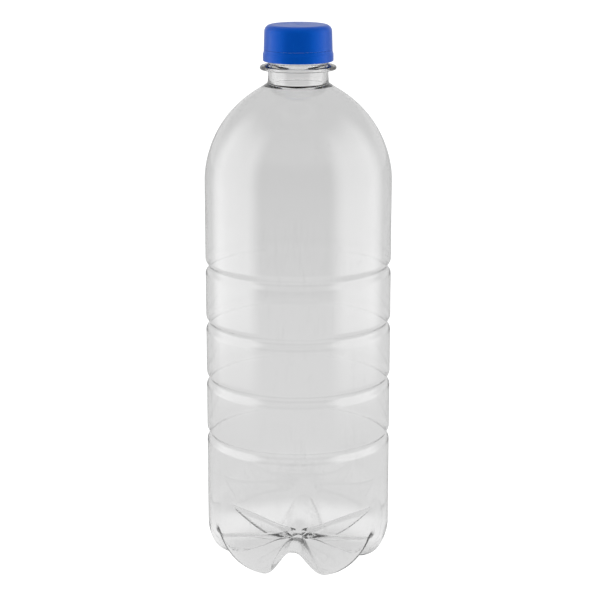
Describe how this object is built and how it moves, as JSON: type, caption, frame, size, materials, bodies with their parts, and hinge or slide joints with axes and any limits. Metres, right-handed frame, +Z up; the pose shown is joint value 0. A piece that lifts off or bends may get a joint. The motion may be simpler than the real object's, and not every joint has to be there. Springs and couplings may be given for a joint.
{
  "type": "plastic drinks bottle with screw cap",
  "caption": "Clear blown PET drinks bottle with grooved side and petal base, closed by a blue screw cap over a torn tamper band.",
  "frame": {"origin": "on the bottle's axis, in the plane of its feet", "axes": "+Z up the bottle's axis to its mouth, +X through the middle of one foot, so that a valley of the base faces -Y"},
  "size_m": [0.0818, 0.0818, 0.2407],
  "materials": {
    "clear_pet": "clear, thin walled, high gloss",
    "blue_closure": "blue moulded polyethylene, semi-gloss",
    "seal_disc": "soft white seal, satin"
  },
  "bodies": {
    "bottle": {"bottle": "clear_pet"},
    "band": {"tamper_band": "blue_closure"},
    "liner": {"cap_liner": "seal_disc"},
    "cap": {"cap": "blue_closure"}
  },
  "joints": [
    {"name": "band_spin", "type": "hinge", "parent": "bottle", "child": "band", "pos_m": [0, 0, 0.2276], "axis": [0, 0, 1], "continuous": true},
    {"name": "cap_lift", "type": "slide", "parent": "bottle", "child": "liner", "axis": [0, 0, 1], "range_m": [0, 0.0049]},
    {"name": "cap_turn", "type": "hinge", "parent": "liner", "child": "cap", "pos_m": [0, 0, 0.2386], "axis": [0, 0, 1], "range_deg": [0, 650]}
  ],
  "couplings": [
    {"joint": "cap_lift", "follows": "cap_turn", "m_per_rad": 0.00042972}
  ]
}
